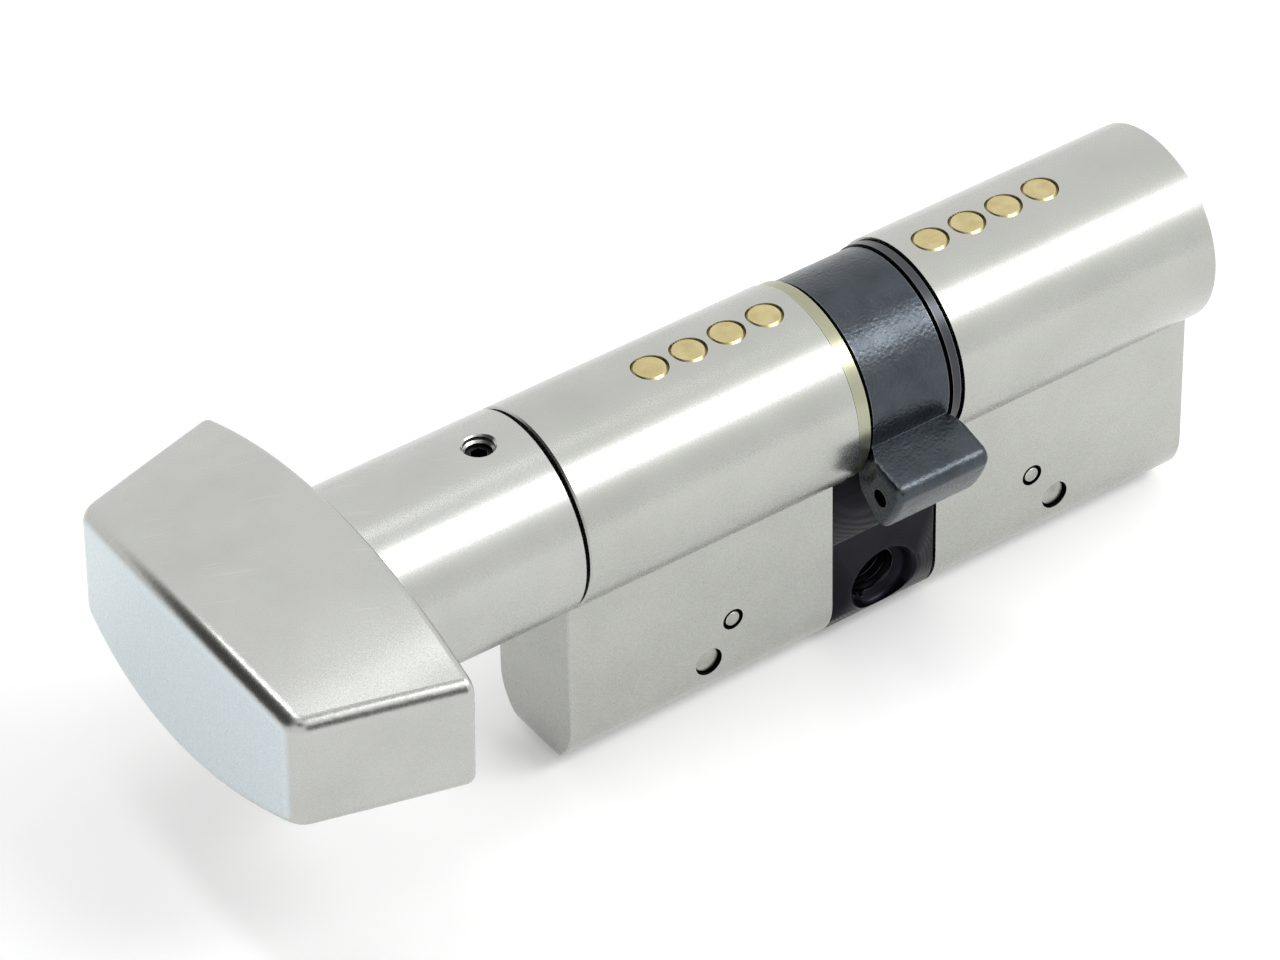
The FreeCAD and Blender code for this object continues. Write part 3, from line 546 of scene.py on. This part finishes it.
@dataclass
class Housing(SubAssembly):
    """The two bodies, the bridge between them and what is pressed into them.

    Attributes:
        thread_minor_mm: Radius of the fixing screw's thread at its crests.
        thread_major_mm: Radius at its roots.
        thread_pitch_mm: Rise of one turn.
        crest_share: Half width of the thread's flat crest, as a share of the pitch.
        root_share: Half width of its flat root, as a share of the pitch.
        mouth_mm: Radius of the counterbore at each end of the hole.
        mouth_floor_mm: Height along Y of the counterbore's floor.
        mouth_room_mm: Room within which a face of the frame belongs to the hole.
        turn_steps: Facets of a full turn.
        ring_mm: Width of the groove peened round each small pin; a large pin's is half that.
        ring_depth_mm: Depth of that groove; a large pin's is half that.
        dome_mm: Rise of a pin's end above its rim.
        flat_share: Flat part of that end, as a share of its radius.
        shade_collar_mm: Thickness of the near-black collar round each pin on the hole's wall,
            painted shade over the gap.
        spring_wire_mm: Thickness of the wire under the driver pins.
    """

    body: str = "housing"
    thread_minor_mm: float = 2.1
    thread_major_mm: float = 2.5
    thread_pitch_mm: float = 0.8
    crest_share: float = 0.12
    root_share: float = 0.06
    mouth_mm: float = 3.0
    mouth_floor_mm: float = 3.8
    mouth_room_mm: float = 0.02
    turn_steps: int = 64
    ring_mm: float = 0.3
    ring_depth_mm: float = 0.45
    dome_mm: float = 0.04
    flat_share: float = 0.55
    shade_collar_mm: float = 0.015
    spring_wire_mm: float = 0.32

    def finishes(self) -> dict[str, Finish]:
        """The finish of each node of the frame on this body."""
        springs = {"pin_spring_%d" % chamber: SPRING_STEEL for chamber in CHAMBERS}
        return {
            "thumb_body": SATIN_NICKEL, "key_body": SATIN_NICKEL, "bridge": BLACK_STEEL,
            "small_cross_pins": GROUND_STEEL, "large_cross_pins": GROUND_STEEL,
            "thumb_chamber_caps": CAP_BRASS, "key_chamber_caps": CAP_BRASS,
            "body_drill_guards": HARD_STEEL, "thrust_washer": WASHER_BRASS, **springs}

    def thread(self, end_mm: float) -> bpy.types.Mesh:
        """Cuts the thread's wall.

        Args:
            end_mm: Height along Y where it ends, each way.

        Returns:
            The wall, open at both ends.
        """
        mesh = bmesh.new()
        crest, root, pitch = self.thread_minor_mm, self.thread_major_mm, self.thread_pitch_mm
        tooth = [(crest, -self.crest_share), (crest, self.crest_share),
                 (root, 0.5 - self.root_share), (root, 0.5 + self.root_share)]
        turns = math.ceil(end_mm / pitch) + 1
        outline = [(radius, (turn + share) * pitch)
                   for turn in range(-turns, turns) for radius, share in tooth]
        turn_round(mesh, chain(mesh, outline), (0, 1, 0), self.turn_steps,
                   rise=pitch * MM / self.turn_steps)
        bmesh.ops.remove_doubles(mesh, verts=mesh.verts, dist=WELD)
        for side in (-1, 1):
            bmesh.ops.bisect_plane(mesh, geom=all_of(mesh), dist=CUT_ROOM, clear_outer=True,
                                   plane_co=(0, side * end_mm * MM, 0), plane_no=(0, side, 0))
        return stored(mesh, "thread_wall")

    def threaded_bridge(self) -> Mesh:
        """Copies the bridge and taps its fixing-screw hole.

        Returns:
            The bridge with a threaded hole.
        """
        mesh = bmesh.new()
        mesh.from_mesh(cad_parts["bridge"].data)
        bmesh.ops.remove_doubles(mesh, verts=mesh.verts, dist=FRAME_WELD)
        reach = (self.mouth_mm + self.mouth_room_mm) * MM
        height = (self.mouth_floor_mm + self.mouth_room_mm) * MM
        wall = [face for face in mesh.faces
                if all(math.hypot(vert.co.x, vert.co.z) < reach and abs(vert.co.y) < height
                       for vert in face.verts)]
        bmesh.ops.delete(mesh, geom=wall, context="FACES")
        end_mm = self.mouth_floor_mm - (self.mouth_mm - self.thread_major_mm)
        shrink = self.thread_major_mm / self.mouth_mm
        cone = bmesh.ops.extrude_edge_only(mesh, edges=open_edges(mesh))["geom"]
        for vert in (part for part in cone if isinstance(part, bmesh.types.BMVert)):
            end = math.copysign(end_mm * MM, vert.co.y)
            vert.co = Vector((vert.co.x * shrink, end, vert.co.z * shrink))
        take_in(mesh, self.thread(end_mm))
        for side in (-1, 1):
            bmesh.ops.bridge_loops(mesh, edges=[edge for edge in open_edges(mesh)
                                                if edge.verts[0].co.y * side > 0])
        return mesh

    def pins(self, node: str, ring_mm: float, ring_depth_mm: float) -> Mesh:
        """Turns a pair of cross pins with domed ends.

        Args:
            node: The node of the frame that gives their places and sizes.
            ring_mm: Width of the groove round each end.
            ring_depth_mm: Depth of that groove.

        Returns:
            Both pins, each in its leg.
        """
        low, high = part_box(node)
        radius, half = (high.z - low.z) / 2 / MM, high.y / MM
        land = radius - ring_mm
        collar = radius + self.shade_collar_mm
        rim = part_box("small_cross_pins")[1].y / MM - self.shade_collar_mm
        ends = [(0.0, half), (land * self.flat_share, half),
                (land - self.dome_mm, half - self.dome_mm), (land, half - 2 * self.dome_mm),
                (land, half - ring_depth_mm), (radius, half - ring_depth_mm),
                (radius, rim), (collar, rim)]
        outline = ends + [(across, -along) for across, along in reversed(ends)]
        mesh = bmesh.new()
        for centre_x in (low.x + radius * MM, high.x - radius * MM):
            pin = bmesh.new()
            turn_round(pin, chain(pin, outline), (0, 1, 0), self.turn_steps, closed=True)
            bmesh.ops.remove_doubles(pin, verts=pin.verts, dist=WELD)
            # Painted shade: faces deep in the groove, or outside the land, take the near-black
            # second finish.
            for face in pin.faces:
                middle = face.calc_center_median()
                deep = abs(middle.y) < (half - 3 * self.dome_mm) * MM
                face.material_index = int(deep or middle.xz.length > land * MM)
            bmesh.ops.translate(pin, verts=pin.verts, vec=(centre_x, 0, (low.z + high.z) / 2))
            take_in(mesh, stored(pin, "pin"))
        return mesh

    def build(self) -> None:
        """Builds the tapped bridge, the cross pins and the springs under the driver pins."""
        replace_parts(self.piece("tapped_bridge", self.threaded_bridge(), BLACK_STEEL), "bridge")
        for name, node, share in (("peened_pins", "small_cross_pins", 1.0),
                                  ("retaining_pins", "large_cross_pins", 0.5)):
            pair = self.pins(node, self.ring_mm * share, self.ring_depth_mm * share)
            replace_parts(self.piece(name, pair, GROUND_STEEL, GROOVE_SHADE_STEEL), node)
        for chamber in CHAMBERS:
            self.wind(CoilSpring("driver_coil_%d" % chamber, "pin_spring_%d" % chamber,
                                 "driver_slide_%d" % chamber, (0.0, 0.0, 1.0),
                                 self.spring_wire_mm))


@dataclass
class Thumbturn(SubAssembly):
    """The winged knob and the core that it turns.

    Attributes:
        thread_depth_mm: Depth of the thread in the grub screw's hole.
        thread_pitch_mm: Spacing of the thread's ridges.
        land_share: Half width of a crest or root, as a share of the pitch.
        mouth_mm: Width of the bevel round that hole.
        fit_mm: Room between the thread's crests and the screw, and above it.
        turn_steps: Facets of a full turn.
    """

    body: str = "thumbturn"
    thread_depth_mm: float = 0.16
    thread_pitch_mm: float = 0.35
    land_share: float = 0.05
    mouth_mm: float = 0.2
    fit_mm: float = 0.02
    turn_steps: int = 48

    def tapped_wall(self) -> Mesh:
        """Builds the thread that shows in the grub screw's hole, above the screw.

        Returns:
            A ring with the thread's ridges inside.
        """
        low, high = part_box("grub_screw")
        outer = (high.x - low.x) / 2 / MM + self.fit_mm
        base = high.z / MM + self.fit_mm
        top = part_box("thumb_body")[1].z / MM - self.mouth_mm - self.fit_mm
        ridges = int((top - base) / self.thread_pitch_mm)
        root, land = outer - self.fit_mm, self.land_share
        crest = root - self.thread_depth_mm
        tooth = [(root, land), (crest, 0.5 - land), (crest, 0.5 + land), (root, 1 - land)]
        outline = [(outer, base)]
        outline += [(radius, base + (ridge + share) * self.thread_pitch_mm)
                    for ridge in range(ridges) for radius, share in tooth]
        outline += [(outer, base + ridges * self.thread_pitch_mm)]
        mesh = bmesh.new()
        geometry = chain(mesh, outline)
        geometry.append(mesh.edges.new((geometry[0], geometry[len(outline) - 1])))
        turn_round(mesh, geometry, (0, 1, 0), self.turn_steps, closed=True)
        bmesh.ops.rotate(mesh, verts=mesh.verts, cent=(0, 0, 0),
                         matrix=Matrix.Rotation(math.pi / 2, 3, "X"))
        bmesh.ops.translate(mesh, verts=mesh.verts,
                            vec=((low.x + high.x) / 2, (low.y + high.y) / 2, 0))
        return mesh

    def build(self) -> None:
        """Builds the tapped wall of the grub screw's hole."""
        self.piece("tapped_neck_wall", self.tapped_wall(), GROUND_STEEL)

    def finishes(self) -> dict[str, Finish]:
        """The finish of each node of the frame on this body."""
        return {"thumb_knob": KNOB_NICKEL, "thumb_core": CORE_GAP_SHADE, "grub_screw": GRUB_BLACK,
                "thumb_retaining_ring": RING_BLACK}


@dataclass
class Cam(SubAssembly):
    """The cam that throws the bolt."""

    body: str = "cam"

    def finishes(self) -> dict[str, Finish]:
        """The finish of each node of the frame on this body."""
        return {"cam": SINTERED}


@dataclass
class KeyPlug(SubAssembly):
    """The plug that the key turns, with its ring, drill guards and the clutch's spring.

    Attributes:
        spring_wire_mm: Thickness of the clutch spring's wire.
    """

    body: str = "key_plug"
    spring_wire_mm: float = 0.3

    def build(self) -> None:
        """Builds the clutch's spring."""
        self.wind(CoilSpring("clutch_coil", "clutch_spring", "clutch_slide", (1.0, 0.0, 0.0),
                             self.spring_wire_mm))

    def finishes(self) -> dict[str, Finish]:
        """The finish of each node of the frame on this body."""
        return {"key_plug": PLUG_NICKEL, "key_retaining_ring": RING_BLACK,
                "plug_drill_guards": HARD_STEEL, "clutch_spring": SPRING_STEEL}


@dataclass
class Clutch(SubAssembly):
    """The sliding clutch between the plug and the cam."""

    body: str = "clutch"

    def finishes(self) -> dict[str, Finish]:
        """The finish of each node of the frame on this body."""
        return {"clutch_slider": CLUTCH_STEEL}


@dataclass
class Pin(SubAssembly):
    """One key pin or driver pin.

    Attributes:
        metal: Its finish.
    """

    metal: Finish = PIN_BRASS

    def finishes(self) -> dict[str, Finish]:
        """The finish of each node of the frame on this body."""
        return {self.body: self.metal}


@dataclass(frozen=True)
class Flag:
    """A soft-edged dark patch of the tent.

    Attributes:
        towards: Direction from the object to its middle.
        inner: Degrees from the middle that are fully dark.
        outer: Degrees from the middle where it ends.
        left: Share of the tent's light left in the dark.
    """

    towards: Point
    inner: float
    outer: float
    left: float


@dataclass(frozen=True)
class Softbox:
    """One soft light.

    Attributes:
        name: The light's name.
        towards: Direction from the object to the light.
        size: Width and length in metres.
        radiance: Brightness of its face.
        length: Direction that its length follows.
        distance: Metres from the object.
    """

    name: str
    towards: Point
    size: tuple[float, float]
    radiance: float
    length: Point = (1.0, 0.0, 0.0)
    distance: float = 0.7


@dataclass
class Studio:
    """Camera, soft lights and floor.

    Attributes:
        azimuth: Camera's direction round the object.
        elevation: Camera's height angle.
        roll: Camera's turn about its own line of sight.
        distance_mm: Camera to the point it looks at.
        aim_mm: That point, from the fixing-screw hole's centre.
        lens_mm: Focal length.
        sensor_mm: Width of the camera's sensor.
        clip: Nearest and farthest metres that the camera sees.
        tent_light: Brightness of the tent.
        floor_glow: Light that comes up through the floor.
        floor_reach: Metres from the floor's middle to its sides.
        floor_gap_mm: Room between the object and the floor.
        flags: Dark patches of the tent.
        softboxes: The soft lights.
    """

    azimuth: float = -34.46
    elevation: float = 39.67
    roll: float = -1.35
    distance_mm: float = 510.0
    aim_mm: Point = (-18.0, 3.2, 14.0)
    lens_mm: float = 182.0
    sensor_mm: float = 36.0
    clip: tuple[float, float] = (0.01, 10.0)
    tent_light: float = 1.15
    floor_glow: float = 0.17
    floor_reach: float = 3.0
    floor_gap_mm: float = 0.2
    flags: tuple[Flag, ...] = (
        Flag((-0.72, 0.2, 0.62), 24.0, 48.0, 0.05),
        Flag((0.1, -0.32, 0.94), 3.0, 15.0, 0.3),
        Flag((0.0, -0.95, 0.3), 9.0, 21.0, 0.05),
        Flag((-0.4355, -0.6347, 0.6383), 6.0, 16.0, 0.05))
    softboxes: tuple[Softbox, ...] = (
        Softbox("side_strip", (0.4355, -0.53, 0.73), (0.2, 0.5), 6.5),
        Softbox("overhead", (0.25, 0.0, 0.968), (0.05, 0.12), 4.5),
        Softbox("ridge_strip", (-0.17, 0.12, 0.978), (0.08, 0.34), 8.0, (0.0, 1.0, 0.0)))

    def camera(self) -> None:
        """Stands the camera at its place."""
        turn, rise = math.radians(self.azimuth), math.radians(self.elevation)
        back = Vector((math.sin(turn) * math.cos(rise), -math.cos(turn) * math.cos(rise),
                       math.sin(rise)))
        data = bpy.data.cameras.new("camera")
        data.lens, data.sensor_width = self.lens_mm, self.sensor_mm
        data.clip_start, data.clip_end = self.clip
        thing = bpy.data.objects.new("camera", data)
        upright = (-back).to_track_quat("-Z", "Y").to_matrix()
        look = upright @ Matrix.Rotation(math.radians(self.roll), 3, "Z")
        place = (Vector(self.aim_mm) + back * self.distance_mm) * MM
        thing.matrix_world = Matrix.Translation(place) @ look.to_4x4()
        bpy.context.scene.collection.objects.link(thing)
        bpy.context.scene.camera = thing

    def hang(self, box: Softbox) -> None:
        """Hangs one soft light over the middle of the frame's box.

        Args:
            box: The light.
        """
        data = bpy.data.lights.new(box.name, "AREA")
        data.shape, data.size, data.size_y = "RECTANGLE", box.size[0], box.size[1]
        data.energy = box.radiance * math.pi * box.size[0] * box.size[1]
        thing = bpy.data.objects.new(box.name, data)
        aim = Vector(box.towards).normalized()
        across = Vector(box.length).cross(aim).normalized()
        look = Matrix((across, aim.cross(across), aim)).transposed().to_4x4()
        centre = (CAD_BOX[0] + CAD_BOX[1]) / 2
        thing.matrix_world = Matrix.Translation(centre + aim * box.distance) @ look
        bpy.context.scene.collection.objects.link(thing)

    def tent(self) -> None:
        """Surrounds the object with a pale tent that has soft-edged dark patches."""
        world = bpy.data.worlds.new("tent")
        world.use_nodes = True
        bpy.context.scene.world = world
        tree = world.node_tree
        place = add(tree, "ShaderNodeTexCoord").outputs["Generated"]
        light = add(tree, "ShaderNodeValue").outputs["Value"]
        light.default_value = self.tent_light
        for flag in self.flags:
            towards = Vector(flag.towards).normalized()
            facing = add(tree, "ShaderNodeVectorMath", {"operation": "DOT_PRODUCT", 1: towards},
                         {0: place})
            shade = add(tree, "ShaderNodeMapRange",
                        {"interpolation_type": "SMOOTHSTEP",
                         "From Min": math.cos(math.radians(flag.outer)),
                         "From Max": math.cos(math.radians(flag.inner)),
                         "To Min": 1.0, "To Max": flag.left},
                        {"Value": facing.outputs["Value"]})
            light = add(tree, "ShaderNodeMath", {"operation": "MULTIPLY"},
                        {0: light, 1: shade.outputs["Result"]}).outputs["Value"]
        tree.links.new(light, tree.nodes["Background"].inputs["Strength"])
        tree.nodes["Background"].inputs["Color"].default_value = linear("#FFFFFF")

    def floor(self) -> None:
        """Lays the pale floor just under the object."""
        mesh = bmesh.new()
        level = CAD_BOX[0].z - self.floor_gap_mm * MM
        bmesh.ops.create_grid(mesh, x_segments=1, y_segments=1, size=self.floor_reach,
                              matrix=Matrix.Translation((0, 0, level)))
        data = stored(mesh, "floor")
        thing = bpy.data.objects.new("floor", data)
        # Opal acrylic light table: white and matt, softly lit from below.
        table = bpy.data.materials.new("opal_acrylic_light_table")
        table.use_nodes = True
        shader = table.node_tree.nodes["Principled BSDF"]
        shader.inputs["Base Color"].default_value = linear("#F0F0F0")
        shader.inputs["Roughness"].default_value = 0.9
        shader.inputs["Specular IOR Level"].default_value = 0.1
        shader.inputs["Emission Color"].default_value = linear("#FFFFFF")
        shader.inputs["Emission Strength"].default_value = self.floor_glow
        data.materials.append(table)
        bpy.context.scene.collection.objects.link(thing)

    def build(self) -> None:
        """Sets up camera, lights, tent and floor."""
        self.camera()
        self.tent()
        for box in self.softboxes:
            self.hang(box)
        self.floor()
        bpy.context.scene.view_settings.view_transform = "Standard"


def main() -> None:
    """Builds the studio and every sub-assembly."""
    logging.basicConfig(level=logging.INFO, format="%(message)s")
    Studio().build()
    pins = [Pin("%s_%d" % (kind, chamber), metal)
            for kind, metal in (("key_pin", PIN_BRASS), ("driver_pin", DRIVER_STEEL))
            for chamber in CHAMBERS]
    for part in [Housing(), Thumbturn(), Cam(), KeyPlug(), Clutch()] + pins:
        part.dress()
        part.build()


if __name__ == "__main__":
    main()
